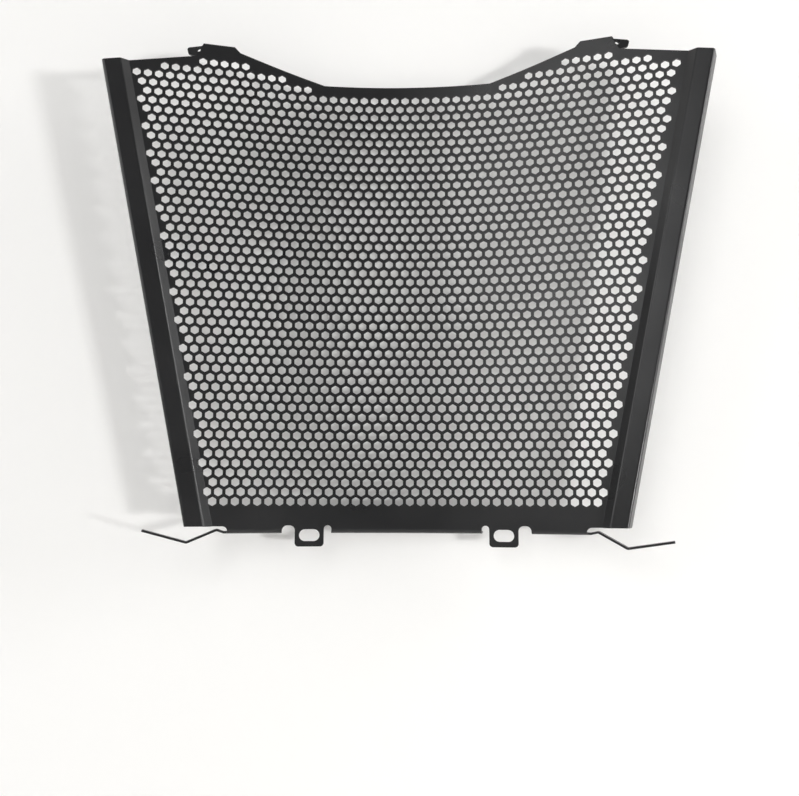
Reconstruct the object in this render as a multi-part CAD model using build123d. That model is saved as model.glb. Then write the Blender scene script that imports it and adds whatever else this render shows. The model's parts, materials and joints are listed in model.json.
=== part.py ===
"""Radiator guard for a motorcycle: one perforated sheet, rolled across its middle and folded at its edges.

Millimetres. X runs to the right as seen from the front, Y runs back towards the radiator and Z runs up.
The origin lies midway between the two lower fixing slots, on the front face of their tabs.
Places on the sheet are given as on its flat pattern: "arc" is the distance from the middle, measured
along the front face, and "height" is measured up from the line of the slots.
The roll is bent in small steps, one opening pitch apart, along lines through the points of the openings.
"""

import os
from math import ceil, cos, radians, sin, sqrt, tan

from build123d import *

# Sheet and roll
sheet_thickness = 1.5
roll_radius = 386.0  # hollow towards the front
wing_angle = 15.6  # turn of each flat wing from the middle
bend_radius = 1.6  # inside of a fold

# Top edge
top_height = 325.3  # level stretch in the middle
top_level_arc = 60.4  # where the edge starts to rise
crest_arc = 121.7  # where the rise ends
crest_height = 344.2
tab_chamfer = 4.0
ear_fold_arc = 147.7  # upper end of the ear's fold
ear_root_arc = 152.8  # lower end of the ear's fold, on the wing's top edge

# Side edge
side_slope = 11.5  # side fold from upright, in the plane of the wing
side_corner_arc = 197.9  # where the side fold meets the wing's top edge
side_corner_height = 329.0
joggle_rise = 5.0  # step of the side strip towards the front
joggle_run = 5.3
strip_width = 11.8
return_angle = 82.0  # fold of the return towards the back
return_depth = 11.0
return_bend_radius = 0.4  # inside of the tight bend at the return

# Bottom edge
bottom_height = 6.2  # edge of the panel, where the flanges start
flange_drop = 4.9  # from there to the underside of the flanges
flange_depth = 12.0
flange_end_arc = 124.5
flange_relief_radius = 2.0  # rounded end of the gap between panel and arm

# Lower tabs, centred on their slots, and the relief notches beside them
slot_arc = 66.9
slot_length = 13.8
slot_width = 8.1
tab_width = 19.8
tab_below_slot = 7.7
tab_corner_radius = 2.5
notch_height = 6.7
inner_notch_width = 5.2
inner_notch_radius = 2.4
outer_notch_width = 8.8
outer_notch_radius = 3.5

# Cranked arms, which carry on from the outer flanges
arm_lap = 3.0  # lap of the arm on its flange
arm_step_length = 5.0
arm_step_slope = 15.2
arm_drop_length = 21.3
arm_drop_slope = 26.1
arm_foot_length = 30.5
arm_foot_slope = 12.4
left_arm_lift = 3.3  # turn of the whole arm at its root, because each is set by hand
right_arm_lift = -3.3

# Upper ears, measured down the fold and out from it
ear_fold_angle = 30.0
ear_step_down = 2.3  # the ear's upper edge starts this far down its fold
ear_tip_down = 6.8
ear_tip_out = 11.0
ear_toe_down = 11.4
ear_toe_out = 6.8
ear_corner_radius = 1.4
ear_hole_down = 6.0
ear_hole_out = 0.8
ear_hole_radius = 1.5
ear_lap = 4.0  # lap of the ear on its tab

# Hexagonal openings, points up, in staggered rows
opening_pitch = 19.1
opening_flats = 14.1
field_bottom_height = 19.2
field_top_rim = 6.8
field_side_rim = 2.4

# Worked out from the sizes above
bend_count = round(2 * roll_radius * radians(wing_angle) / opening_pitch)
step_angle = 2 * wing_angle / bend_count
bend_arcs = [(bend - (bend_count - 1) / 2) * opening_pitch for bend in range(bend_count)]
wing_root_arc = bend_arcs[-1]
crest_top = crest_height + tab_chamfer
flange_bottom = bottom_height - flange_drop
outer_bend = bend_radius + sheet_thickness
inner_notch_middle = slot_arc - (tab_width + inner_notch_width) / 2
outer_notch_middle = slot_arc + (tab_width + outer_notch_width) / 2
reach = 60.0  # how far blanks and cutters run past the sheet


def turn_at(arc):
    """Turn of the sheet from the middle, in radians, at a bend line or halfway between two of them."""
    return radians(step_angle) * max(-bend_count / 2, min(arc / opening_pitch, bend_count / 2))


def outward_at(arc):
    """Level direction along the front face, to the right."""
    return Vector(cos(turn_at(arc)), -sin(turn_at(arc)), 0)


def back_at(arc):
    """Direction through the sheet, towards the back."""
    return Vector(sin(turn_at(arc)), cos(turn_at(arc)), 0)


def stops_between(start_arc, end_arc):
    """Arcs of a stretch's two ends and of the roll's bend lines between them."""
    return [start_arc] + [arc for arc in bend_arcs if start_arc < arc < end_arc] + [end_arc]


def from_middle(arc, height):
    """Point on the front face, from the middle of the sheet on the line of the slots."""
    place = Vector(0, 0, height)
    stops = stops_between(0, abs(arc))
    for start, end in zip(stops, stops[1:]):
        bends_passed = sum(bend <= start for bend in bend_arcs)
        flat_middle = (bends_passed - bend_count / 2) * opening_pitch
        place += outward_at(flat_middle) * (end - start)
    return Vector(place.X if arc > 0 else -place.X, place.Y, place.Z)


def sheet_point(arc, height):
    """Point on the front face."""
    return from_middle(arc, height) - Vector(0, from_middle(slot_arc, 0).Y, 0)


def top_edge_height(arc):
    """Height of the top edge over an arc."""
    if arc < crest_arc + tab_chamfer:
        rise = (crest_height - top_height) / (crest_arc - top_level_arc)
        return top_height + max(0.0, arc - top_level_arc) * rise
    if arc < ear_fold_arc:
        return crest_top
    return side_corner_height + (side_corner_arc - arc) * tan(radians(side_slope))


def side_fold_arc(height):
    """Where the side fold crosses a height."""
    return side_corner_arc - (side_corner_height - height) * tan(radians(side_slope))


def bent_band(points, last_bend=bend_radius):
    """Section of a bent sheet: its front follows the points, and its thickness lies to their left."""
    points = [Vector(*point) for point in points]
    runs = [(b - a).normalized() for a, b in zip(points, points[1:])]
    sides = [Vector(-run.Y, run.X) * sheet_thickness for run in runs]
    turns_left = [a.cross(b).Z > 0 for a, b in zip(runs, runs[1:])]
    back_points = [points[0] + sides[0]]
    for point, a, b in zip(points[1:], sides, sides[1:]):
        back_points.append(point + (a + b) / (1 + a.dot(b) / sheet_thickness**2))
    back_points.append(points[-1] + sides[-1])
    inside = [bend_radius] * (len(turns_left) - 1) + [last_bend]
    outside = [radius + sheet_thickness for radius in inside]
    front = FilletPolyline(*points, radius=[b if left else a for left, a, b in zip(turns_left, inside, outside)])
    back = FilletPolyline(*back_points, radius=[a if left else b for left, a, b in zip(turns_left, inside, outside)])
    return make_face([front, back, Line(front @ 0, back @ 0), Line(front @ 1, back @ 1)])


def both_sides(piece):
    """A piece of the right half and its mirror image."""
    return [piece, mirror(piece, about=Plane.YZ)]


def front_cutter(outline):
    """Prism through the whole depth over an outline of (x, height), seen from the front."""
    return extrude(Plane.XZ * outline, amount=2 * reach, both=True)


def rolled_middle():
    """Stepped roll between the wings, taller than the guard."""
    mitre = sheet_thickness / cos(radians(step_angle / 2))
    front = [sheet_point(arc, 0) for arc in bend_arcs]
    back = [point + back_at(arc) * mitre for point, arc in zip(front, bend_arcs)]
    band = make_face(Polyline(*front, *reversed(back), close=True))
    return Pos(0, 0, -reach) * extrude(band, amount=crest_top + 2 * reach)


def wing():
    """Right wing with its side fold, the strip stepped forward from it and the return, left long."""
    slope = radians(side_slope)
    outward = outward_at(side_corner_arc)
    upward = Vector(0, 0, cos(slope)) + outward * sin(slope)
    across = outward * cos(slope) - Vector(0, 0, sin(slope))
    strip_end = joggle_run + strip_width
    turn = radians(return_angle)
    points = [
        (-side_corner_arc, 0),
        (0, 0),
        (joggle_run, -joggle_rise),
        (strip_end, -joggle_rise),
        (strip_end + return_depth * cos(turn), -joggle_rise + return_depth * sin(turn)),
    ]
    top = crest_top + reach
    band = bent_band(points, return_bend_radius)
    section = Plane(sheet_point(side_fold_arc(top), top), x_dir=across, z_dir=upward) * band
    bent = extrude(section, amount=-(top + 2 * reach))
    root = Plane(sheet_point(wing_root_arc, 0), z_dir=outward_at(wing_root_arc))
    return split(bent, bisect_by=root, keep=Keep.TOP)


def panel_outline():
    """Edge of the panel seen from the front, without the folded flanges and ears."""
    far = side_corner_arc + reach
    right = [
        (top_level_arc, top_height),
        (crest_arc, crest_height),
        (crest_arc + tab_chamfer, crest_top),
        (ear_fold_arc, crest_top),
        (ear_root_arc, top_edge_height(ear_root_arc)),
        (far, top_edge_height(far)),
        (far, bottom_height),
        (outer_notch_middle, bottom_height),
        (outer_notch_middle, -reach / 2),
        (inner_notch_middle, -reach / 2),
        (inner_notch_middle, bottom_height),
    ]
    points = [(sheet_point(arc, height).X, height) for arc, height in right]
    points += [(-x, height) for x, height in reversed(points)]
    return make_face(Polyline(*points, close=True))


def flange(start_arc, end_arc):
    """Flange folded back from a stretch of the bottom edge."""
    points = [sheet_point(arc, 0) for arc in stops_between(start_arc, end_arc)]
    along = (points[1] - points[0]).normalized()
    section = bent_band([(0, bottom_height), (0, flange_bottom), (flange_depth, flange_bottom)])
    start = Plane(points[0], x_dir=Vector(0, 0, 1).cross(along), z_dir=along)
    return sweep(start * section, path=Polyline(*points), transition=Transition.RIGHT)


def outer_flange(arm_lift):
    """Right outer flange, with the rounded relief at its end, and the cranked arm that carries on from it."""
    back = back_at(flange_end_arc)
    gap_middle = (bottom_height + flange_bottom + sheet_thickness) / 2
    relief = Plane(sheet_point(flange_end_arc, gap_middle) + back * outer_bend, z_dir=-back)
    folded = flange(outer_notch_middle, flange_end_arc)
    return folded - extrude(relief * Circle(flange_relief_radius), amount=reach) + arm(arm_lift)


def arm(lift):
    """Cranked arm that carries on outward from the right outer flange, behind its bend."""
    runs = (
        (arm_lap, 0.0),
        (arm_step_length, lift + arm_step_slope),
        (arm_drop_length, lift - arm_drop_slope),
        (arm_foot_length, lift + arm_foot_slope),
    )
    points = [Vector(-arm_lap, 0)]
    for length, slope in runs:
        points.append(points[-1] + Vector(cos(radians(slope)), sin(radians(slope))) * length)
    back = back_at(flange_end_arc)
    start = sheet_point(flange_end_arc, flange_bottom) + back * outer_bend
    section = Plane(start, x_dir=outward_at(flange_end_arc), z_dir=-back) * bent_band(points)
    return extrude(section, amount=-(flange_depth - outer_bend))


def ear_leaf():
    """Plane of the right ear from the upper end of its fold, x out and y down the fold, and the fold's length."""
    upper = sheet_point(ear_fold_arc, crest_top)
    fold = sheet_point(ear_root_arc, top_edge_height(ear_root_arc)) - upper
    down = fold.normalized()
    back = back_at(ear_root_arc)
    turn = radians(ear_fold_angle)
    out = down.cross(back) * cos(turn) + back * sin(turn)
    return Plane(upper, x_dir=out, z_dir=out.cross(down)), fold.length


def ear():
    """Right ear, folded back about a slanting line at the tab's end, with a lap that lies in the tab."""
    leaf, fold_length = ear_leaf()
    turn = radians(ear_fold_angle)
    blank_out = 2 * ear_tip_out
    points = [(-ear_lap, 0), (0, 0), (blank_out * cos(turn), blank_out * sin(turn))]
    down = leaf.y_dir
    across = down.cross(back_at(ear_root_arc))
    bent = extrude(Plane(leaf.origin, x_dir=across, z_dir=-down) * bent_band(points), amount=reach, both=True)
    edge = FilletPolyline(
        (-2 * ear_lap, ear_step_down),
        (0, ear_step_down),
        (ear_tip_out, ear_tip_down),
        (ear_toe_out, ear_toe_down),
        (0, fold_length),
        (-2 * ear_lap, fold_length),
        radius=[0, ear_corner_radius, ear_corner_radius, 0],
    )
    outline = make_face([edge, Line(edge @ 0, edge @ 1)])
    return bent & extrude(leaf * outline, amount=2 * ear_lap, both=True)


def tab_cutter():
    """Cutter for what surrounds the right tab: the relief notches beside it and all below its round corners."""
    half = tab_width / 2
    level = notch_height - reach / 2
    outline = Pos(-half - inner_notch_width / 2, level) * RectangleRounded(
        inner_notch_width, reach, inner_notch_radius
    )
    outline += Pos(half + outer_notch_width / 2, level) * RectangleRounded(
        outer_notch_width, reach, outer_notch_radius
    )
    outline += Pos(0, -tab_below_slot - reach / 4) * Rectangle(tab_width, reach / 2)
    corners = [corner for corner in outline.vertices() if abs(corner.Y + tab_below_slot) < sheet_thickness]
    face = Plane(sheet_point(slot_arc, 0), x_dir=outward_at(slot_arc), z_dir=-back_at(slot_arc))
    return extrude(face * fillet(corners, tab_corner_radius), amount=reach, both=True)


def openings():
    """Prisms for the hexagonal openings, square to the sheet."""
    corner = opening_flats / sqrt(3)
    row_rise = opening_pitch * sqrt(3) / 2
    prisms = []
    for row in range(ceil(crest_top / row_rise)):
        height = field_bottom_height + corner + row * row_rise
        columns = ceil(side_corner_arc / opening_pitch)
        for column in range(-columns, columns + 1):
            arc = bend_arcs[bend_count // 2] + (column + row % 2 / 2) * opening_pitch
            edges = (abs(arc) - opening_flats / 2, abs(arc), abs(arc) + opening_flats / 2)
            room_above = min(top_edge_height(edge) for edge in edges) - height - corner
            room_beside = side_fold_arc(height - corner / 2) - edges[-1]
            if room_above < field_top_rim or room_beside < field_side_rim:
                continue
            plane = Plane(sheet_point(arc, height), x_dir=outward_at(arc), z_dir=back_at(arc))
            hexagon = plane * RegularPolygon(corner, 6, rotation=30)
            prisms.append(extrude(hexagon, amount=2 * sheet_thickness, both=True))
    return prisms


def guard_sheet():
    """The whole guard, as one solid."""
    sheet = rolled_middle() + both_sides(wing())
    sheet = sheet & front_cutter(panel_outline())
    sheet = sheet + flange(-inner_notch_middle, inner_notch_middle) + both_sides(ear())
    sheet = sheet + outer_flange(right_arm_lift) + mirror(outer_flange(left_arm_lift), about=Plane.YZ)
    sheet = sheet - both_sides(tab_cutter())
    slot = Pos(sheet_point(slot_arc, 0).X, 0) * SlotOverall(slot_length, slot_width)
    sheet = sheet - both_sides(front_cutter(slot))
    hole = ear_leaf()[0].from_local_coords((ear_hole_out, ear_hole_down))
    sheet = sheet - both_sides(front_cutter(Pos(hole.X, hole.Z) * Circle(ear_hole_radius)))
    return sheet - openings()


os.makedirs("parts", exist_ok=True)
export_step(guard_sheet().solid(), "parts/guard_sheet.step")
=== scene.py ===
"""Motorcycle radiator guard: a punched, rolled and folded sheet with its powder coat, on a pale studio stage.

The sheet is made as a workshop makes it. A flat blank gets its outline and its holes, and is then rolled
and folded. Places on the blank are (arc, height): arc runs along the front face from the middle, and height
runs up from the line of the two lower slots. The formed sheet is in the frame's own axes: X to the right as
seen from the front, Y back and Z up.
"""

import json
from math import atan2, ceil, cos, hypot, pi, radians, sin, sqrt, tan

import bmesh
import bpy
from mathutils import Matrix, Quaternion, Vector


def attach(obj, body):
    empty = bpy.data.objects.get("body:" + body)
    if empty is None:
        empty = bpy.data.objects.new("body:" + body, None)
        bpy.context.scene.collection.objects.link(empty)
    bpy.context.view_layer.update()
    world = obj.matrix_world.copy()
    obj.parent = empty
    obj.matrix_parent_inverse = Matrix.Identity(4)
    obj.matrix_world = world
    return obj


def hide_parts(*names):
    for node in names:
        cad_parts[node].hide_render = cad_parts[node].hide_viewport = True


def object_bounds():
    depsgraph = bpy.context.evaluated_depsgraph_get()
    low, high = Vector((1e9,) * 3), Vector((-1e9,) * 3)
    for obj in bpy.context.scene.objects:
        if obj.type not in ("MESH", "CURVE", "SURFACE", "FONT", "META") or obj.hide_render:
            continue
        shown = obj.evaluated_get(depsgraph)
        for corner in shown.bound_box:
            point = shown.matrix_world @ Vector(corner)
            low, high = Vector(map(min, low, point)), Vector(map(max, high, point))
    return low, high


bl_info = {
    "name": "Motorcycle Radiator Guard",
    "version": (1, 0, 0),
    "blender": (4, 5, 0),
    "location": "View3D > Sidebar > Guard",
    "description": "Makes a perforated radiator guard from a flat blank, with its coat and a studio stage",
    "category": "Object",
}

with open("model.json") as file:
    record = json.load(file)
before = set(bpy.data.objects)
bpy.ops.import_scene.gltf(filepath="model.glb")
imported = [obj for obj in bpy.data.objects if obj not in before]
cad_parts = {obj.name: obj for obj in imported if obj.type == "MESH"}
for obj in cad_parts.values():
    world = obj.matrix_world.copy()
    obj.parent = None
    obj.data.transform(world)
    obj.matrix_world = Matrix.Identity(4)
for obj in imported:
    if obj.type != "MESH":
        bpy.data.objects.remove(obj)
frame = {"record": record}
cad_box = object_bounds()
mounts = {mount["name"]: mount for mount in frame["record"]["mounts"]}

MM = 0.001
OUTLINE_STEP = 5.0 * MM  # longest straight piece of the blank's outline
CORNER_STEPS = 6  # straight pieces in a rounded corner
ARM_STEPS = 5  # straight pieces in a bend of an arm
FOLD_STEPS = 7  # straight pieces in any other bend
SWEEP_STEPS = 16  # straight pieces in the round of the backdrop
WELD_DISTANCE = 0.001 * MM  # points this close become one
SCORE_DISTANCE = 0.01 * MM  # a score this close to a point goes through it
SHARP_ANGLE = radians(35)  # an edge that turns more than this stays crisp


def length_setting(name, description, millimetres):
    """A length that can be set in the sidebar."""
    return bpy.props.FloatProperty(
        name=name, description=description, default=millimetres * MM, unit="LENGTH"
    )


def angle_setting(name, description, degrees):
    """An angle that can be set in the sidebar."""
    return bpy.props.FloatProperty(
        name=name, description=description, default=radians(degrees), unit="ROTATION"
    )


def linear_colour(code):
    """Linear RGBA of an sRGB colour written as a hex code."""
    levels = [int(code[start:start + 2], 16) / 255 for start in (1, 3, 5)]
    linear = [level / 12.92 if level <= 0.04045 else ((level + 0.055) / 1.055) ** 2.4 for level in levels]
    return [*linear, 1.0]


class RollSizes(bpy.types.PropertyGroup):
    """Sheet, roll and folds."""

    thickness: length_setting("Thickness", "Thickness of the sheet", 1.5)
    radius: length_setting("Roll radius", "Radius of the front face across the middle", 386.0)
    wing_angle: angle_setting("Wing angle", "Turn of each flat wing from the middle", 15.6)
    inner_bend: length_setting("Inner bend radius", "Radius on the hollow side of a fold", 1.6)


class TopSizes(bpy.types.PropertyGroup):
    """Top edge of the panel."""

    height: length_setting("Middle height", "Height of the level stretch in the middle", 325.3)
    level_arc: length_setting("Level half width", "Where the edge starts to rise", 60.4)
    crest_arc: length_setting("Crest arc", "Where the rise ends", 121.7)
    crest_height: length_setting("Crest height", "Height at the end of the rise", 344.2)
    chamfer: length_setting("Crest chamfer", "Chamfer above the end of the rise", 4.0)


class EarSizes(bpy.types.PropertyGroup):
    """Upper ears, measured down the fold and out from it."""

    fold_arc: length_setting("Fold arc", "Arc of the fold's upper end", 147.7)
    root_arc: length_setting("Root arc", "Arc of the fold's lower end", 152.8)
    fold_angle: angle_setting("Fold angle", "How far the ear is folded back", 30.0)
    step_down: length_setting("Step down", "Start of the upper edge, down the fold", 2.3)
    tip_down: length_setting("Tip down", "Outer corner, down the fold", 6.8)
    tip_out: length_setting("Tip out", "Outer corner, out from the fold", 11.0)
    toe_down: length_setting("Toe down", "Lower corner, down the fold", 11.4)
    toe_out: length_setting("Toe out", "Lower corner, out from the fold", 6.8)
    corner_radius: length_setting("Corner radius", "Rounding of the ear's corners", 1.4)
    hole_down: length_setting("Hole down", "Middle of the hole, down the fold", 6.0)
    hole_out: length_setting("Hole out", "Middle of the hole, out from the fold", 0.8)
    hole_radius: length_setting("Hole radius", "Radius of the hole", mounts["ear_holes"]["dims"]["hole_r_mm"])


class SideSizes(bpy.types.PropertyGroup):
    """Side folds: a joggle, a strip stepped to the front and a return."""

    slope: angle_setting("Slope", "Lean of the side fold from upright, in the plane of the wing", 11.5)
    corner_arc: length_setting("Corner arc", "Where the side fold meets the top edge", 197.9)
    corner_height: length_setting("Corner height", "Height of that corner", 329.0)
    joggle_rise: length_setting("Joggle rise", "Step of the strip towards the front", 4.75)
    joggle_run: length_setting("Joggle run", "Width of the step", 5.7)
    joggle_foot: length_setting("Joggle foot", "Inner radius of the tight bend where the step starts", 0.4)
    joggle_bend: length_setting("Joggle bend", "Inner radius of the bend where the step ends", 1.4)
    left_strip: length_setting("Left strip width", "Width of the left strip, as set by hand", 12.3)
    right_strip: length_setting("Right strip width", "Width of the right strip", 11.3)
    left_return: angle_setting("Left return angle", "Fold of the left return, as set by hand", 88.0)
    right_return: angle_setting("Right return angle", "Fold of the right return", 82.0)
    return_depth: length_setting("Return depth", "Depth of the return", 11.0)
    return_bend: length_setting("Return bend", "Inner radius of the return's tight bend", 0.4)


class BottomSizes(bpy.types.PropertyGroup):
    """Bottom edge with its flanges and cranked arms."""

    height: length_setting("Edge height", "Bottom edge of the panel", 6.2)
    flange_drop: length_setting("Flange drop", "From that edge to the underside of the flanges", 4.9)
    flange_depth: length_setting("Flange depth", "Depth of the flanges from the front face", 12.0)
    flange_end_arc: length_setting("Flange end", "Where the arms start", 124.5)
    relief_arc: length_setting("Relief end", "Rounded end of the gap between panel and arm", 122.3)
    corner_radius: length_setting("Corner radius", "Rounding of the flanges' and arms' corners", 1.0)
    arm_step: length_setting("Arm step", "Length of the arm's first rise", 5.0)
    arm_step_slope: angle_setting("Arm step slope", "Slope of the first rise", 15.2)
    arm_drop: length_setting("Arm drop", "Length of the arm's fall", 21.3)
    arm_drop_slope: angle_setting("Arm drop slope", "Slope of the fall", 26.1)
    arm_foot: length_setting("Arm foot", "Length of the arm's foot", 30.5)
    arm_foot_slope: angle_setting("Arm foot slope", "Slope of the foot", 12.4)
    left_lift: angle_setting("Left arm lift", "Turn of the left arm at its root, as set by hand", 3.3)
    right_lift: angle_setting("Right arm lift", "Turn of the right arm at its root, as set by hand", -3.3)


class TabSizes(bpy.types.PropertyGroup):
    """Lower tabs with their slots, and the relief notches beside them."""

    slot_arc: length_setting("Slot arc", "Middle of a slot", 66.9)
    slot_length: length_setting(
        "Slot length", "Length of a slot seen from the front", mounts["lower_slots"]["dims"]["slot_length_mm"]
    )
    slot_width: length_setting(
        "Slot width", "Width of a slot", 2 * mounts["lower_slots"]["dims"]["hole_r_mm"]
    )
    width: length_setting("Tab width", "Width of a tab", 19.8)
    below_slot: length_setting("Tab below slot", "From the middle of the slot to the tab's end", 7.7)
    corner_radius: length_setting("Tab corner radius", "Rounding of the tab's corners", 2.5)
    notch_height: length_setting("Notch height", "Top of the notches", 6.7)
    inner_notch: length_setting("Inner notch", "Width of the notch nearer the middle", 5.2)
    inner_radius: length_setting("Inner notch radius", "Rounding of that notch", 2.4)
    outer_notch: length_setting("Outer notch", "Width of the other notch", 8.8)
    outer_radius: length_setting("Outer notch radius", "Rounding of that notch", 3.5)


class HoleSizes(bpy.types.PropertyGroup):
    """Hexagonal holes, points up, in staggered rows."""

    pitch: length_setting("Pitch", "Distance between neighbouring holes", 7.5)
    width: length_setting("Hole width", "Width of a hole across its flats", 5.4)
    corner_radius: length_setting("Hole corner radius", "Rounding of a hole's corners", 0.6)
    columns: bpy.props.IntProperty(name="Columns", description="Holes in the widest row", default=52)
    rows: bpy.props.IntProperty(
        name="Row pairs", description="Pairs of rows, counting a single last row", default=25
    )
    lowest: length_setting("Lowest row", "Height of the middles of the lowest row", 22.3)
    half_width: length_setting("Half width", "Half the width of the field at the lowest row", 133.8)
    side_slope: angle_setting("Field side slope", "Lean of the field's sides from upright", 10.9)
    edge_distance: length_setting("Edge distance", "Least distance from a hole's middle to the outline", 6.2)
    shift: length_setting("Shift", "How far the whole field lies off the middle", -1.4)
    lift: length_setting("Lift", "How far the whole field lies above its even place", 0.6)


class CoatFinish(bpy.types.PropertyGroup):
    """Powder coat."""

    colour: bpy.props.FloatVectorProperty(
        name="Colour", description="Colour of the coat", subtype="COLOR", size=4, min=0, max=1,
        default=linear_colour("#1a1a1b"),
    )
    roughness: bpy.props.FloatProperty(
        name="Roughness", description="Roughness of the coat", subtype="FACTOR", min=0, max=1, default=0.31
    )
    grain: length_setting("Grain", "Size of the coat's grains", 0.8)
    grain_height: length_setting("Grain height", "Height of the coat's grains", 0.02)


class StageSetup(bpy.types.PropertyGroup):
    """Backdrop, lights and camera."""

    backdrop_colour: bpy.props.FloatVectorProperty(
        name="Backdrop", description="Colour of the floor and backdrop", subtype="COLOR", size=4,
        min=0, max=1, default=linear_colour("#f2f1ef"),
    )
    backdrop_lift: bpy.props.FloatProperty(
        name="Backdrop lift", description="How much whiter the backdrop is to the camera and in reflections",
        subtype="FACTOR", min=0, max=1, default=0.11,
    )
    surround: bpy.props.FloatProperty(
        name="Surround", description="Strength of the pale surround", subtype="FACTOR",
        min=0, max=1, default=0.2,
    )
    backdrop_gap: length_setting("Backdrop gap", "From the back of the guard to the backdrop", 4.0)
    camera_place: bpy.props.FloatVectorProperty(
        name="Camera", description="Place of the camera", subtype="TRANSLATION", unit="LENGTH",
        default=(17.16 * MM, -582.23 * MM, 25.65 * MM),
    )
    camera_target: bpy.props.FloatVectorProperty(
        name="Target", description="Point at the middle of the picture", subtype="TRANSLATION", unit="LENGTH",
        default=(-4.88 * MM, 3.25 * MM, 95.13 * MM),
    )
    camera_roll: angle_setting("Camera roll", "Turn of the camera about its own line of sight", 0.145)
    lens: bpy.props.FloatProperty(
        name="Lens", description="Focal length on a sensor 36 mm wide", unit="CAMERA", default=37.906
    )


class GuardSettings(bpy.types.PropertyGroup):
    """Everything that can be set on the guard and its stage."""

    roll: bpy.props.PointerProperty(type=RollSizes, name="Sheet and roll")
    top: bpy.props.PointerProperty(type=TopSizes, name="Top edge")
    ear: bpy.props.PointerProperty(type=EarSizes, name="Upper ears")
    side: bpy.props.PointerProperty(type=SideSizes, name="Side folds")
    bottom: bpy.props.PointerProperty(type=BottomSizes, name="Bottom edge")
    tab: bpy.props.PointerProperty(type=TabSizes, name="Lower tabs")
    holes: bpy.props.PointerProperty(type=HoleSizes, name="Holes")
    coat: bpy.props.PointerProperty(type=CoatFinish, name="Powder coat")
    stage: bpy.props.PointerProperty(type=StageSetup, name="Stage")


class FoldPath:
    """Line along the front face of a folded strip: flat to its first corner, then runs joined by bends.

    A length counts from the first corner as if the blank were still flat. A place is (ahead, aside), from
    that corner, and a positive turn goes towards aside.
    """

    def __init__(self, corners):
        """Each corner has its turn, its bend radius on the front face and the run to the next corner."""
        cuts = [radius * tan(abs(turn) / 2) for turn, radius, run in corners] + [0.0]
        self.stretches = []
        length, place, heading = -cuts[0], Vector((-cuts[0], 0.0)), 0.0
        for (turn, radius, run), cut, next_cut in zip(corners, cuts, cuts[1:]):
            self.stretches.append((length, place, heading, (1 if turn > 0 else -1) / radius))
            length += radius * abs(turn)
            place = self.place(length)
            heading += turn
            self.stretches.append((length, place, heading, 0.0))
            length += run - cut - next_cut
            place = self.place(length)
        self.start = self.stretches[0][0]
        self.end = length

    def place(self, length):
        """Place of a point of the strip in the formed section."""
        passed = [stretch for stretch in self.stretches if stretch[0] <= length]
        if not passed:
            return Vector((length, 0.0))
        start, place, heading, curve = passed[-1]
        turned = heading + curve * (length - start)
        if curve == 0.0:
            return place + Vector((cos(heading), sin(heading))) * (length - start)
        return place + Vector((sin(turned) - sin(heading), cos(heading) - cos(turned))) / curve

    def score_lengths(self, steps):
        """Lengths at which the blank is scored, so that each bend becomes a round of narrow faces."""
        bends = zip(self.stretches[::2], self.stretches[1::2])
        return [a[0] + (b[0] - a[0]) * step / steps for a, b in bends for step in range(steps + 1)]


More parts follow.
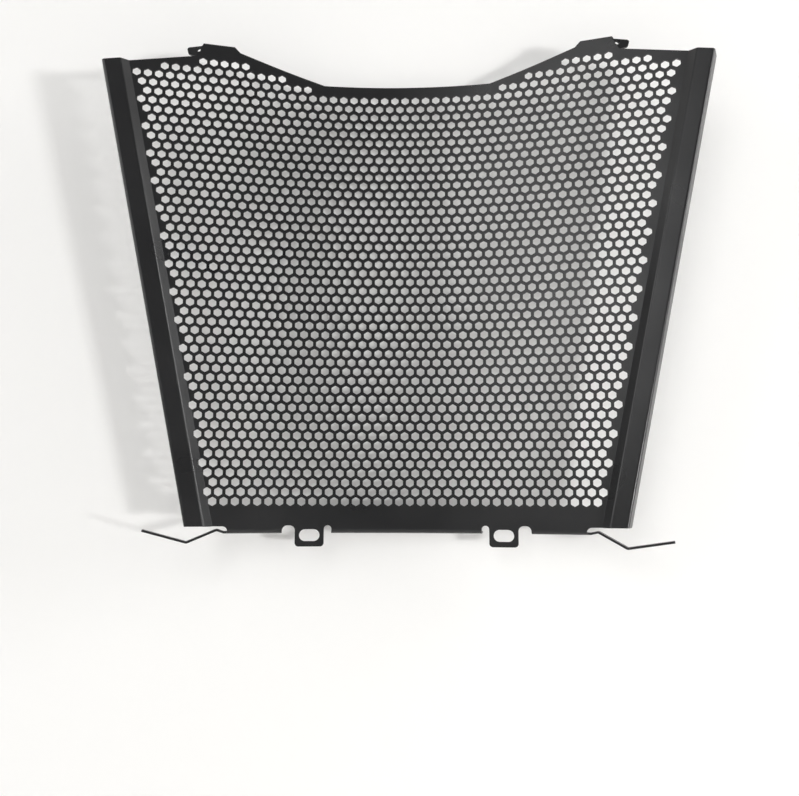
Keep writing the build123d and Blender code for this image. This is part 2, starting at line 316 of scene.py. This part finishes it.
class GuardShape:
    """The blank's outline, and how the roll and the folds place each of its points."""

    def __init__(self, settings):
        roll, ear, side, bottom = settings.roll, settings.ear, settings.side, settings.bottom
        self.settings = settings
        outer_bend = roll.inner_bend + roll.thickness
        joggle_turn = atan2(side.joggle_rise, side.joggle_run)
        self.side_paths = {
            hand: FoldPath([
                (-joggle_turn, side.joggle_foot, hypot(side.joggle_rise, side.joggle_run)),
                (joggle_turn, side.joggle_bend + roll.thickness, strip_width),
                (return_angle, side.return_bend + roll.thickness, side.return_depth),
            ])
            for hand, strip_width, return_angle in (
                (-1, side.left_strip, side.left_return),
                (1, side.right_strip, side.right_return),
            )
        }
        self.flange_path = FoldPath([(pi / 2, outer_bend, bottom.flange_depth)])
        self.ear_path = FoldPath([(ear.fold_angle, outer_bend, ear.tip_out)])
        self.arm_paths = {
            hand: FoldPath([
                (bottom.arm_step_slope + lift, outer_bend, bottom.arm_step),
                (-bottom.arm_step_slope - bottom.arm_drop_slope, roll.inner_bend, bottom.arm_drop),
                (bottom.arm_drop_slope + bottom.arm_foot_slope, outer_bend, bottom.arm_foot),
            ])
            for hand, lift in ((-1, bottom.left_lift), (1, bottom.right_lift))
        }
        self.flange_level = bottom.height - bottom.flange_drop
        self.flange_edge = self.flange_level - self.flange_path.end
        self.arm_edge = self.flange_level - self.flange_path.stretches[1][0]
        self.gap_middle = (bottom.height + self.arm_edge) / 2
        self.side_corner = Vector((side.corner_arc, side.corner_height))
        self.side_across = Vector((cos(side.slope), -sin(side.slope)))
        self.side_along = Vector((sin(side.slope), cos(side.slope)))
        self.ear_upper = Vector((ear.fold_arc, settings.top.crest_height + settings.top.chamfer))
        ear_lower = Vector((ear.root_arc, self.wing_top(ear.root_arc)))
        self.ear_length = (ear_lower - self.ear_upper).length
        self.ear_down = (ear_lower - self.ear_upper).normalized()
        self.ear_out = Vector((-self.ear_down.y, self.ear_down.x))

    def wing_top(self, arc):
        """Height of the wing's top edge, which is square to the side fold."""
        side = self.settings.side
        return side.corner_height + (side.corner_arc - arc) * tan(side.slope)

    def turn(self, arc):
        """Turn of the sheet from the middle."""
        return min(arc / self.settings.roll.radius, self.settings.roll.wing_angle)

    def outward(self, arc):
        """Level direction along the front face of the right half."""
        return Vector((cos(self.turn(arc)), -sin(self.turn(arc)), 0.0))

    def back(self, arc):
        """Direction through the right half of the sheet, towards the back."""
        return Vector((sin(self.turn(arc)), cos(self.turn(arc)), 0.0))

    def forward(self, arc):
        """How far the roll brings a point of the right half towards the front."""
        radius, turn = self.settings.roll.radius, self.turn(arc)
        return radius * (1 - cos(turn)) + (arc - radius * turn) * sin(turn)

    def rolled(self, arc, height):
        """Place of a point of the right half that only the roll has moved."""
        radius, turn = self.settings.roll.radius, self.turn(arc)
        beside = radius * sin(turn) + (arc - radius * turn) * cos(turn)
        return Vector((beside, self.forward(self.settings.tab.slot_arc) - self.forward(arc), height))

    def wing_direction(self, flat):
        """Direction on the right wing of a direction on the blank."""
        return self.outward(self.settings.side.corner_arc) * flat.x + Vector((0, 0, flat.y))

    def side_measures(self, point):
        """How far a point of the right half lies up the side fold and out from it."""
        offset = point - self.side_corner
        return offset.dot(self.side_along), offset.dot(self.side_across)

    def ear_measures(self, point):
        """How far a point of the right half lies down the ear's fold and out from it."""
        offset = point - self.ear_upper
        return offset.dot(self.ear_down), offset.dot(self.ear_out)

    def on_flange(self, point):
        """Whether a point of the right half lies on a flange or its arm, past the start of the fold."""
        tab, bottom = self.settings.tab, self.settings.bottom
        beside_tab = abs(point.x - tab.slot_arc) > (tab.width + tab.inner_notch) / 2
        fold_start = self.flange_level - self.flange_path.start
        highest = fold_start if point.x < bottom.flange_end_arc else self.gap_middle
        return beside_tab and point.y < highest

    def on_arm(self, point):
        """Whether a point of the right half lies on an arm, past the start of its first bend."""
        first_bend = self.settings.bottom.flange_end_arc + self.arm_paths[1].start
        return point.y < self.gap_middle and point.x > first_bend

    def on_side(self, point):
        """Whether a point of the right half lies past the start of the side folds."""
        return point.y > self.gap_middle and self.side_measures(point)[1] > self.side_paths[1].start

    def on_ear(self, point):
        """Whether a point of the right half lies on an ear, past the start of its fold."""
        down, out = self.ear_measures(point)
        return out > self.ear_path.start and down < self.ear_length + 0.3 * out  # above the gap below the ear

    def formed(self, arc, height):
        """Place of a point of the blank on the front face of the finished sheet."""
        hand = 1 if arc > 0 else -1
        place = self.formed_half(Vector((abs(arc), height)), hand)
        place.x *= hand
        return place

    def formed_half(self, point, hand):
        """Place of a point of one half, as if that half were the right one."""
        back = self.back(point.x)
        arm_path = self.arm_paths[hand]
        if self.on_flange(point):
            ahead, aside = self.flange_path.place(self.flange_level - point.y)
            height = self.flange_level - ahead
            root = self.settings.bottom.flange_end_arc
            beside, rise = arm_path.place(point.x - root)
            if point.x - root < arm_path.start:
                return self.rolled(point.x, height) + back * aside
            return self.rolled(root, height + rise) + self.outward(root) * beside + back * aside
        if self.on_side(point):
            up, out = self.side_measures(point)
            ahead, aside = self.side_paths[hand].place(out)
            flat = self.side_along * up + self.side_across * ahead
            return self.rolled(*self.side_corner) + self.wing_direction(flat) + back * aside
        if self.on_ear(point):
            down, out = self.ear_measures(point)
            ahead, aside = self.ear_path.place(out)
            flat = self.ear_down * down + self.ear_out * ahead
            return self.rolled(*self.ear_upper) + self.wing_direction(flat) + back * aside
        return self.rolled(point.x, point.y)

    def side_foot(self, hand, length):
        """Place on the blank of the side's lower end, which is level once the side is folded."""
        side, bottom = self.settings.side, self.settings.bottom
        ahead = self.side_paths[hand].place(length).x
        up = (bottom.height - side.corner_height + ahead * sin(side.slope)) / cos(side.slope)
        return self.side_corner + self.side_along * up + self.side_across * length

    def half_corners(self, hand):
        """Corners of one half of the outline, from the top to the bottom, each with its radius."""
        top, ear, bottom, tab = self.settings.top, self.settings.ear, self.settings.bottom, self.settings.tab
        step = self.ear_upper + self.ear_down * ear.step_down
        tip = self.ear_upper + self.ear_down * ear.tip_down + self.ear_out * ear.tip_out
        toe = self.ear_upper + self.ear_down * ear.toe_down + self.ear_out * ear.toe_out
        return_edge = self.side_paths[hand].end
        return_top = self.side_corner + self.side_across * return_edge
        feet = [self.side_foot(hand, length) for length in self.side_paths[hand].score_lengths(FOLD_STEPS)]
        gap_radius = (bottom.height - self.arm_edge) / 2
        arm_end = bottom.flange_end_arc + self.arm_paths[hand].end
        tab_inner, tab_outer = tab.slot_arc - tab.width / 2, tab.slot_arc + tab.width / 2
        inner_flange, outer_flange = tab_inner - tab.inner_notch, tab_outer + tab.outer_notch
        return [
            (top.level_arc, top.height, 0.0),
            (top.crest_arc, top.crest_height, 0.0),
            (top.crest_arc + top.chamfer, top.crest_height + top.chamfer, 0.0),
            (*self.ear_upper, 0.0),
            (*step, 0.0),
            (*tip, ear.corner_radius),
            (*toe, ear.corner_radius),
            (ear.root_arc, self.wing_top(ear.root_arc), 0.0),
            (*return_top, bottom.corner_radius),
            (*self.side_foot(hand, return_edge), bottom.corner_radius),
            *((*foot, 0.0) for foot in reversed(feet)),
            (bottom.relief_arc, bottom.height, gap_radius),
            (bottom.relief_arc, self.arm_edge, gap_radius),
            (arm_end, self.arm_edge, bottom.corner_radius),
            (arm_end, self.flange_edge, bottom.corner_radius),
            (outer_flange, self.flange_edge, bottom.corner_radius),
            (outer_flange, tab.notch_height, tab.outer_radius),
            (tab_outer, tab.notch_height, tab.outer_radius),
            (tab_outer, -tab.below_slot, tab.corner_radius),
            (tab_inner, -tab.below_slot, tab.corner_radius),
            (tab_inner, tab.notch_height, tab.inner_radius),
            (inner_flange, tab.notch_height, tab.inner_radius),
            (inner_flange, self.flange_edge, bottom.corner_radius),
        ]

    def cut_loops(self):
        """Every closed loop that is cut in the blank: the outline, the slots and the holes in the ears."""
        ear, tab = self.settings.ear, self.settings.tab
        right = self.half_corners(1)
        left = [(-arc, height, radius) for arc, height, radius in reversed(self.half_corners(-1))]
        loops = [rounded_loop(right + left)]
        slot_half = tab.slot_length / cos(self.turn(tab.slot_arc)) / 2
        slot_radius, hole_radius = tab.slot_width / 2, ear.hole_radius
        hole = self.ear_upper + self.ear_down * ear.hole_down + self.ear_out * ear.hole_out
        for hand in (-1, 1):
            loops.append(rounded_box(hand * tab.slot_arc, 0.0, slot_half, slot_radius, slot_radius))
            loops.append(rounded_box(hand * hole.x, hole.y, hole_radius, hole_radius, hole_radius))
        return loops

    def bends(self):
        """Each set of bends: its paths by hand, a point of its first line, the way across and its reach."""
        level = Vector((0.0, self.flange_level))
        root = Vector((self.settings.bottom.flange_end_arc, 0.0))
        return [
            (self.side_paths, self.side_corner, self.side_across, self.on_side),
            (dict.fromkeys((-1, 1), self.flange_path), level, Vector((0.0, -1.0)), self.on_flange),
            (self.arm_paths, root, Vector((1.0, 0.0)), self.on_arm),
            (dict.fromkeys((-1, 1), self.ear_path), self.ear_upper, self.ear_out, self.on_ear),
        ]


def rounded_loop(corners):
    """Points of a closed loop whose corners have their own radii, with its long straight runs divided."""
    points = []
    for number, (arc, height, radius) in enumerate(corners):
        corner = Vector((arc, height))
        before = (Vector(corners[number - 1][:2]) - corner).normalized()
        after = (Vector(corners[(number + 1) % len(corners)][:2]) - corner).normalized()
        half_angle = before.angle(after) / 2
        middle = corner + (before + after).normalized() * radius / sin(half_angle)
        spoke = corner + before * radius / tan(half_angle) - middle
        sweep = (pi - 2 * half_angle) * (1 if before.cross(after) < 0 else -1)
        steps = CORNER_STEPS if radius else 0
        for step in range(steps + 1):
            turn = sweep * step / max(steps, 1)
            across = spoke.x * cos(turn) - spoke.y * sin(turn)
            up = spoke.x * sin(turn) + spoke.y * cos(turn)
            points.append(middle + Vector((across, up)))
    loop = []
    for start, end in zip(points, points[1:] + points[:1]):
        pieces = ceil((end - start).length / OUTLINE_STEP - 0.0001)
        loop.extend(start.lerp(end, piece / pieces) for piece in range(pieces))
    return loop


def rounded_box(arc, height, half_width, half_height, radius):
    """Points of a slot, or of a round hole where its sizes are all equal."""
    signs = ((-1, -1), (1, -1), (1, 1), (-1, 1))
    return rounded_loop([(arc + x * half_width, height + y * half_height, radius) for x, y in signs])


def add_node(tree, kind, inputs=None, **settings):
    """Adds a node. An input, by its name or number, is given a value or the output that it is linked to."""
    node = tree.nodes.new(kind)
    for name, value in settings.items():
        setattr(node, name, value)
    for key, value in (inputs or {}).items():
        if isinstance(value, bpy.types.NodeSocket):
            tree.links.new(value, node.inputs[key])
        else:
            node.inputs[key].default_value = value
    return node


def punching_tree():
    """Node tree that punches the field of hexagonal holes in the blank whose cut edges it is given."""
    tree = bpy.data.node_groups.new("Punched blank", "GeometryNodeTree")
    tree.is_modifier = True
    sockets = {
        "Cut Edges": "NodeSocketGeometry",
        "Pitch": "NodeSocketFloat",
        "Hole Width": "NodeSocketFloat",
        "Corner Radius": "NodeSocketFloat",
        "Columns": "NodeSocketInt",
        "Row Pairs": "NodeSocketInt",
        "Lowest Row": "NodeSocketFloat",
        "Half Width": "NodeSocketFloat",
        "Side Slope": "NodeSocketFloat",
        "Edge Distance": "NodeSocketFloat",
        "Shift": "NodeSocketFloat",
        "Lift": "NodeSocketFloat",
        "Coat": "NodeSocketMaterial",
    }
    for name, kind in sockets.items():
        tree.interface.new_socket(name, in_out="INPUT", socket_type=kind)
    tree.interface.new_socket("Blank", in_out="OUTPUT", socket_type="NodeSocketGeometry")
    given = add_node(tree, "NodeGroupInput").outputs

    radius = add_node(tree, "ShaderNodeMath", {0: given["Hole Width"], 1: sqrt(3)}, operation="DIVIDE")
    circle = add_node(
        tree, "GeometryNodeCurvePrimitiveCircle", {"Resolution": 6, "Radius": radius.outputs[0]}
    )
    upright = add_node(tree, "GeometryNodeTransform", {0: circle.outputs[0], "Rotation": (0.0, 0.0, pi / 6)})
    hexagon = add_node(
        tree, "GeometryNodeFilletCurve",
        {"Curve": upright.outputs[0], "Count": 1, "Radius": given["Corner Radius"]}, mode="POLY",
    )

    outline = add_node(tree, "GeometryNodeMeshToCurve", {0: given["Cut Edges"]})
    unpunched = add_node(tree, "GeometryNodeFillCurve", {0: outline.outputs[0]}, mode="TRIANGLES")
    # a ray straight up from below each middle tells whether it lies on the sheet
    position = add_node(tree, "GeometryNodeInputPosition").outputs[0]
    below = add_node(tree, "ShaderNodeVectorMath", {0: position, 1: (0.0, 0.0, -1.0)}, operation="ADD")
    probe = add_node(tree, "GeometryNodeRaycast", {
        "Target Geometry": unpunched.outputs[0],
        "Source Position": below.outputs[0],
        "Ray Direction": (0.0, 0.0, 1.0),
        "Ray Length": 2.0,
    })
    place = add_node(tree, "ShaderNodeSeparateXYZ", {0: position})
    above = add_node(
        tree, "ShaderNodeMath", {0: place.outputs["Y"], 1: given["Lowest Row"]}, operation="SUBTRACT"
    )
    lean = add_node(tree, "ShaderNodeMath", {0: given["Side Slope"]}, operation="TANGENT")
    reach = add_node(
        tree, "ShaderNodeMath", {0: above.outputs[0], 1: lean.outputs[0], 2: given["Half Width"]},
        operation="MULTIPLY_ADD",
    )
    beside = add_node(tree, "ShaderNodeMath", {0: place.outputs["X"]}, operation="ABSOLUTE")
    within = add_node(
        tree, "FunctionNodeCompare", {0: beside.outputs[0], 1: reach.outputs[0]},
        data_type="FLOAT", operation="LESS_EQUAL",
    )
    nearest = add_node(tree, "GeometryNodeProximity", {0: given["Cut Edges"]}, target_element="EDGES")
    clear = add_node(
        tree, "FunctionNodeCompare", {0: nearest.outputs["Distance"], 1: given["Edge Distance"]},
        data_type="FLOAT", operation="GREATER_EQUAL",
    )
    inside = add_node(
        tree, "FunctionNodeBooleanMath", {0: within.outputs[0], 1: probe.outputs["Is Hit"]}, operation="AND"
    )
    kept = add_node(
        tree, "FunctionNodeBooleanMath", {0: inside.outputs[0], 1: clear.outputs[0]}, operation="AND"
    )

    # two grids make the staggered rows: the second has one column and one row less, and lies in the gaps
    row_step = add_node(tree, "ShaderNodeMath", {0: given["Pitch"], 1: sqrt(3)}, operation="MULTIPLY")
    half_step = add_node(tree, "ShaderNodeMath", {0: row_step.outputs[0], 1: 2.0}, operation="DIVIDE")
    steps = add_node(tree, "ShaderNodeMath", {0: given["Row Pairs"], 1: 1.0}, operation="SUBTRACT")
    middle = add_node(
        tree, "ShaderNodeMath", {0: steps.outputs[0], 1: half_step.outputs[0], 2: given["Lowest Row"]},
        operation="MULTIPLY_ADD",
    )
    centre = add_node(tree, "ShaderNodeCombineXYZ", {"Y": middle.outputs[0]})
    punches = []
    for missing in (1.0, 2.0):
        across = add_node(tree, "ShaderNodeMath", {0: given["Columns"], 1: missing}, operation="SUBTRACT")
        along = add_node(tree, "ShaderNodeMath", {0: given["Row Pairs"], 1: missing}, operation="SUBTRACT")
        wide = add_node(
            tree, "ShaderNodeMath", {0: across.outputs[0], 1: given["Pitch"]}, operation="MULTIPLY"
        )
        high = add_node(
            tree, "ShaderNodeMath", {0: along.outputs[0], 1: row_step.outputs[0]}, operation="MULTIPLY"
        )
        columns = add_node(tree, "ShaderNodeMath", {0: across.outputs[0], 1: 1.0}, operation="ADD")
        rows = add_node(tree, "ShaderNodeMath", {0: along.outputs[0], 1: 1.0}, operation="ADD")
        grid = add_node(tree, "GeometryNodeMeshGrid", {
            "Size X": wide.outputs[0],
            "Size Y": high.outputs[0],
            "Vertices X": columns.outputs[0],
            "Vertices Y": rows.outputs[0],
        })
        raised = add_node(
            tree, "GeometryNodeTransform", {0: grid.outputs[0], "Translation": centre.outputs[0]}
        )
        punches.append(add_node(tree, "GeometryNodeInstanceOnPoints", {
            "Points": raised.outputs[0],
            "Selection": kept.outputs[0],
            "Instance": hexagon.outputs[0],
        }).outputs[0])

    field = add_node(tree, "GeometryNodeJoinGeometry")
    for punch in punches:
        tree.links.new(punch, field.inputs[0])
    aside = add_node(tree, "ShaderNodeCombineXYZ", {"X": given["Shift"], "Y": given["Lift"]})
    shifted = add_node(tree, "GeometryNodeTransform", {0: field.outputs[0], "Translation": aside.outputs[0]})
    holes = add_node(tree, "GeometryNodeRealizeInstances", {0: shifted.outputs[0]})
    cuts = add_node(tree, "GeometryNodeJoinGeometry")
    for curves in (outline, holes):
        tree.links.new(curves.outputs[0], cuts.inputs[0])
    filled = add_node(tree, "GeometryNodeFillCurve", {0: cuts.outputs[0]}, mode="TRIANGLES")
    blank = add_node(tree, "GeometryNodeRealizeInstances", {0: filled.outputs[0]})
    coated = add_node(tree, "GeometryNodeSetMaterial", {0: blank.outputs[0], "Material": given["Coat"]})
    add_node(tree, "NodeGroupOutput", {0: coated.outputs[0]})
    return tree


def evaluated_mesh(piece):
    """Plain mesh of a piece as its modifiers leave it."""
    depsgraph = bpy.context.evaluated_depsgraph_get()
    return bpy.data.meshes.new_from_object(piece.evaluated_get(depsgraph), depsgraph=depsgraph)


def powder_coat(finish):
    """Matt black polyester powder coat, sprayed dry and baked.

    The powder flows out into a fine pebbled skin. It breaks a reflection into a soft broad sheen, and
    leaves the black a charcoal grey where light falls on it.
    """
    flow_length = 35 * MM  # gentle waves in which the baked skin has flowed out
    shade_spread = 0.18  # how far the grains are lighter or darker than the coat
    sheen_spread = 0.04  # how far the waves are rougher or smoother
    material = bpy.data.materials.new("Matt black powder coat")
    material.use_nodes = True
    tree = material.node_tree
    tree.nodes.clear()
    place = add_node(tree, "ShaderNodeTexCoord").outputs["Object"]
    grain = add_node(tree, "ShaderNodeTexNoise", {
        "Vector": place, "Scale": 1 / finish.grain, "Detail": 2.0, "Roughness": 0.5,
    })
    flow = add_node(tree, "ShaderNodeTexNoise", {"Vector": place, "Scale": 1 / flow_length, "Detail": 1.0})
    dark = [(1 - shade_spread) * level for level in finish.colour[:3]] + [1.0]
    pale = [(1 + shade_spread) * level for level in finish.colour[:3]] + [1.0]
    colour = add_node(
        tree, "ShaderNodeMix", {"Factor": grain.outputs[0], 6: dark, 7: pale}, data_type="RGBA"
    )
    sheen = add_node(tree, "ShaderNodeMapRange", {
        "Value": flow.outputs[0], "From Min": 0.3, "From Max": 0.7,
        "To Min": finish.roughness - sheen_spread, "To Max": finish.roughness + sheen_spread,
    })
    bump = add_node(tree, "ShaderNodeBump", {
        "Height": grain.outputs[0], "Distance": finish.grain_height, "Strength": 1.0,
    })
    shader = add_node(tree, "ShaderNodeBsdfPrincipled", {
        "Base Color": colour.outputs[2], "Roughness": sheen.outputs[0], "Normal": bump.outputs[0], "IOR": 1.5,
    })
    add_node(tree, "ShaderNodeOutputMaterial", {"Surface": shader.outputs[0]})
    return material


def backdrop_paper(colour, lift):
    """White backdrop paper, matt and even. From behind it lets everything through.

    To the camera, and in reflections, it is a little whiter than the lamps alone make it.
    """
    material = bpy.data.materials.new("Matt backdrop paper")
    material.use_nodes = True
    tree = material.node_tree
    tree.nodes.clear()
    paper = add_node(tree, "ShaderNodeBsdfDiffuse", {"Color": colour})
    rays = add_node(tree, "ShaderNodeLightPath").outputs
    direct = add_node(
        tree, "ShaderNodeMath", {0: rays["Is Camera Ray"], 1: rays["Is Glossy Ray"]}, operation="MAXIMUM"
    )
    seen = add_node(
        tree, "ShaderNodeMath", {0: direct.outputs[0], 1: rays["Is Transmission Ray"]}, operation="MAXIMUM"
    )
    strength = add_node(tree, "ShaderNodeMath", {0: seen.outputs[0], 1: lift}, operation="MULTIPLY")
    glow = add_node(tree, "ShaderNodeEmission", {"Strength": strength.outputs[0]})
    lifted = add_node(tree, "ShaderNodeAddShader", {0: paper.outputs[0], 1: glow.outputs[0]})
    behind = add_node(tree, "ShaderNodeBsdfTransparent")
    side = add_node(tree, "ShaderNodeNewGeometry").outputs["Backfacing"]
    surface = add_node(tree, "ShaderNodeMixShader", {0: side, 1: lifted.outputs[0], 2: behind.outputs[0]})
    add_node(tree, "ShaderNodeOutputMaterial", {"Surface": surface.outputs[0]})
    return material


class GUARD_OT_form_sheet(bpy.types.Operator):
    """Cut, punch, roll, fold and coat the guard's one sheet"""

    bl_idname = "guard.form_sheet"
    bl_label = "Form Sheet"

    def execute(self, context):
        settings = context.scene.guard
        shape = GuardShape(settings)
        coat = powder_coat(settings.coat)
        mesh = self.punched_blank(context, shape, coat)
        self.score_and_form(mesh, shape)
        sheet = bpy.data.objects.new("perforated_sheet", mesh)
        context.collection.objects.link(sheet)
        wall = sheet.modifiers.new("Sheet thickness", "SOLIDIFY")
        wall.thickness = settings.roll.thickness
        wall.offset = -1
        wall.use_even_offset = True
        wall.use_quality_normals = True
        sheet.data = evaluated_mesh(sheet)
        sheet.modifiers.clear()
        self.finish_edges(sheet.data)
        shading = sheet.modifiers.new("Flat faces stay flat", "WEIGHTED_NORMAL")
        shading.keep_sharp = True
        shading.weight = 100  # only the largest faces at a point count
        sheet.data = evaluated_mesh(sheet)
        sheet.modifiers.clear()
        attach(sheet, "root")
        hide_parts("guard_sheet")
        return {"FINISHED"}

    def punched_blank(self, context, shape, coat):
        """Flat sheet with its outline and all its holes."""
        loops = shape.cut_loops()
        points = [(point.x, point.y, 0.0) for loop in loops for point in loop]
        edges = []
        first = 0
        for loop in loops:
            edges.extend((first + n, first + (n + 1) % len(loop)) for n in range(len(loop)))
            first += len(loop)
        mesh = bpy.data.meshes.new("cut_edges")
        mesh.from_pydata(points, edges, [])
        cutting = bpy.data.objects.new("cut_edges", mesh)
        context.collection.objects.link(cutting)
        tree = punching_tree()
        punching = cutting.modifiers.new("Punching", "NODES")
        punching.node_group = tree
        holes = shape.settings.holes
        values = {
            "Pitch": holes.pitch,
            "Hole Width": holes.width,
            "Corner Radius": holes.corner_radius,
            "Columns": holes.columns,
            "Row Pairs": holes.rows,
            "Lowest Row": holes.lowest,
            "Half Width": holes.half_width,
            "Side Slope": holes.side_slope,
            "Edge Distance": holes.edge_distance,
            "Shift": holes.shift,
            "Lift": holes.lift,
            "Coat": coat,
        }
        for item in tree.interface.items_tree:
            if item.name in values:
                punching[item.identifier] = values[item.name]
        blank = evaluated_mesh(cutting)
        bpy.data.objects.remove(cutting)
        if not blank.polygons:
            raise RuntimeError("the blank has no faces: its outline crosses itself or a hole")
        return blank

    def score_and_form(self, mesh, shape):
        """Divides the blank along its bends and moves every point to its place on the finished sheet."""
        blank = bmesh.new()
        blank.from_mesh(mesh)
        bmesh.ops.remove_doubles(blank, verts=blank.verts, dist=WELD_DISTANCE)
        number = blank.faces.layers.int.new("bend")
        mark = 0
        for paths, start, across, reaches in shape.bends():
            steps = ARM_STEPS if paths is shape.arm_paths else FOLD_STEPS
            for hand, path in paths.items():
                mark += 1
                for face in blank.faces:
                    if any(reaches(Vector((hand * corner.co.x, corner.co.y))) for corner in face.verts):
                        face[number] = mark
                for length in path.score_lengths(steps):
                    point = start + across * length
                    faces = [face for face in blank.faces if face[number] == mark]
                    edges = {edge for face in faces for edge in face.edges}
                    corners = {corner for face in faces for corner in face.verts}
                    bmesh.ops.bisect_plane(
                        blank, geom=[*corners, *edges, *faces], dist=SCORE_DISTANCE,
                        plane_co=(hand * point.x, point.y, 0.0), plane_no=(hand * across.x, across.y, 0.0),
                    )
        bmesh.ops.triangulate(blank, faces=[face for face in blank.faces if len(face.verts) > 3])
        turned = [face for face in blank.faces if face.normal.z < 0]
        bmesh.ops.reverse_faces(blank, faces=turned)
        blank.faces.layers.int.remove(number)
        for point in blank.verts:
            point.co = shape.formed(point.co.x, point.co.y)
        blank.to_mesh(mesh)
        blank.free()

    def finish_edges(self, mesh):
        """Keeps cut edges crisp and bends round, and makes sure that the sheet is closed."""
        mesh.shade_smooth()
        mesh.set_sharp_from_angle(angle=SHARP_ANGLE)
        sheet = bmesh.new()
        sheet.from_mesh(mesh)
        open_edges = sum(not edge.is_manifold for edge in sheet.edges)
        sheet.free()
        if open_edges:
            raise RuntimeError(f"the sheet has {open_edges} open edges")


class GUARD_OT_set_stage(bpy.types.Operator):
    """Set up the backdrop, the lights and the camera"""

    bl_idname = "guard.set_stage"
    bl_label = "Set Stage"

    def execute(self, context):
        setup = context.scene.guard.stage
        self.hang_backdrop(context, setup)
        self.set_lights(context, setup)
        self.set_camera(context, setup)
        context.scene.view_settings.view_transform = "Standard"
        return {"FINISHED"}

    def hang_backdrop(self, context, setup):
        """One sweep of paper: a floor in front, a long round and a wall close behind the guard."""
        wall = cad_box[1][1] + setup.backdrop_gap
        floor, top = -0.45, 1.2
        front, half_width = -2.5, 2.0
        round_radius = 0.2
        profile = [(front, floor)]
        for step in range(SWEEP_STEPS + 1):
            angle = pi / 2 * step / SWEEP_STEPS
            profile.append((wall - round_radius * (1 - sin(angle)), floor + round_radius * (1 - cos(angle))))
        profile.append((wall, top))
        points = [(side * half_width, depth, height) for depth, height in profile for side in (-1, 1)]
        faces = [(2 * n, 2 * n + 1, 2 * n + 3, 2 * n + 2) for n in range(len(profile) - 1)]
        mesh = bpy.data.meshes.new("backdrop")
        mesh.from_pydata(points, [], faces)
        mesh.shade_smooth()
        mesh.materials.append(backdrop_paper(setup.backdrop_colour, setup.backdrop_lift))
        backdrop = bpy.data.objects.new("backdrop", mesh)
        context.collection.objects.link(backdrop)

    def set_lights(self, context, setup):
        """Four soft lamps, each with its place, its width and height and its watts, and a pale surround."""
        lamps = {
            # tall box at the right, close to the plane of the sheet, which draws the folds' bright lines
            "fold_light": ((2.2, -0.5, 0.85), (0.4, 1.3), 27.0),
            # its wider and softer partner at the left
            "side_fill": ((-2.1, -0.6, 0.8), (1.8, 1.6), 20.0),
            # large box beside the camera, for the sheen of the right wing
            "front_fill": ((-1.2, -2.9, 1.2), (1.3, 1.9), 20.0),
            # small lamp low at the right, which throws the shadow on the backdrop
            "key": ((2.0, -1.8, -0.4), (0.3, 0.3), 44.0),
        }
        middle = Vector((0.0, 0.0, 0.17))  # of the guard, where all four point
        for name, (place, size, power) in lamps.items():
            lamp = bpy.data.lights.new(name, "AREA")
            lamp.shape = "RECTANGLE"
            lamp.size, lamp.size_y = size
            lamp.energy = power
            holder = bpy.data.objects.new(name, lamp)
            holder.location = place
            holder.rotation_euler = (middle - holder.location).to_track_quat("-Z", "Y").to_euler()
            context.collection.objects.link(holder)
        world = bpy.data.worlds.new("Pale surround")
        world.use_nodes = True
        world.node_tree.nodes.clear()
        surround = add_node(world.node_tree, "ShaderNodeBackground", {
            "Color": linear_colour("#ffffff"), "Strength": setup.surround,
        })
        add_node(world.node_tree, "ShaderNodeOutputWorld", {"Surface": surround.outputs[0]})
        context.scene.world = world

    def set_camera(self, context, setup):
        """The photograph's own viewpoint."""
        camera = bpy.data.cameras.new("view")
        camera.lens = setup.lens
        camera.sensor_width = 36.0
        holder = bpy.data.objects.new("view", camera)
        holder.location = setup.camera_place
        sight = Vector(setup.camera_target) - holder.location
        turn = sight.to_track_quat("-Z", "Y") @ Quaternion((0.0, 0.0, 1.0), setup.camera_roll)
        holder.rotation_euler = turn.to_euler()
        context.collection.objects.link(holder)
        context.scene.camera = holder


class GUARD_PT_sidebar(bpy.types.Panel):
    """Sizes and finishes of the guard, and the steps that make it"""

    bl_idname = "GUARD_PT_sidebar"
    bl_label = "Radiator Guard"
    bl_space_type = "VIEW_3D"
    bl_region_type = "UI"
    bl_category = "Guard"

    def draw(self, context):
        settings = context.scene.guard
        self.layout.operator(GUARD_OT_form_sheet.bl_idname)
        self.layout.operator(GUARD_OT_set_stage.bl_idname)
        for group in GuardSettings.__annotations__:
            box = self.layout.box()
            box.label(text=GuardSettings.bl_rna.properties[group].name)
            values = getattr(settings, group)
            for name in values.__annotations__:
                box.prop(values, name)


classes = (
    RollSizes, TopSizes, EarSizes, SideSizes, BottomSizes, TabSizes, HoleSizes, CoatFinish, StageSetup,
    GuardSettings, GUARD_OT_form_sheet, GUARD_OT_set_stage, GUARD_PT_sidebar,
)


def register():
    for kind in classes:
        bpy.utils.register_class(kind)
    bpy.types.Scene.guard = bpy.props.PointerProperty(
        type=GuardSettings, name="Guard", description="Sizes, finish and stage of the radiator guard"
    )


def unregister():
    del bpy.types.Scene.guard
    for kind in reversed(classes):
        bpy.utils.unregister_class(kind)


def main():
    register()
    bpy.ops.guard.form_sheet()
    bpy.ops.guard.set_stage()


if __name__ == "__main__":
    main()
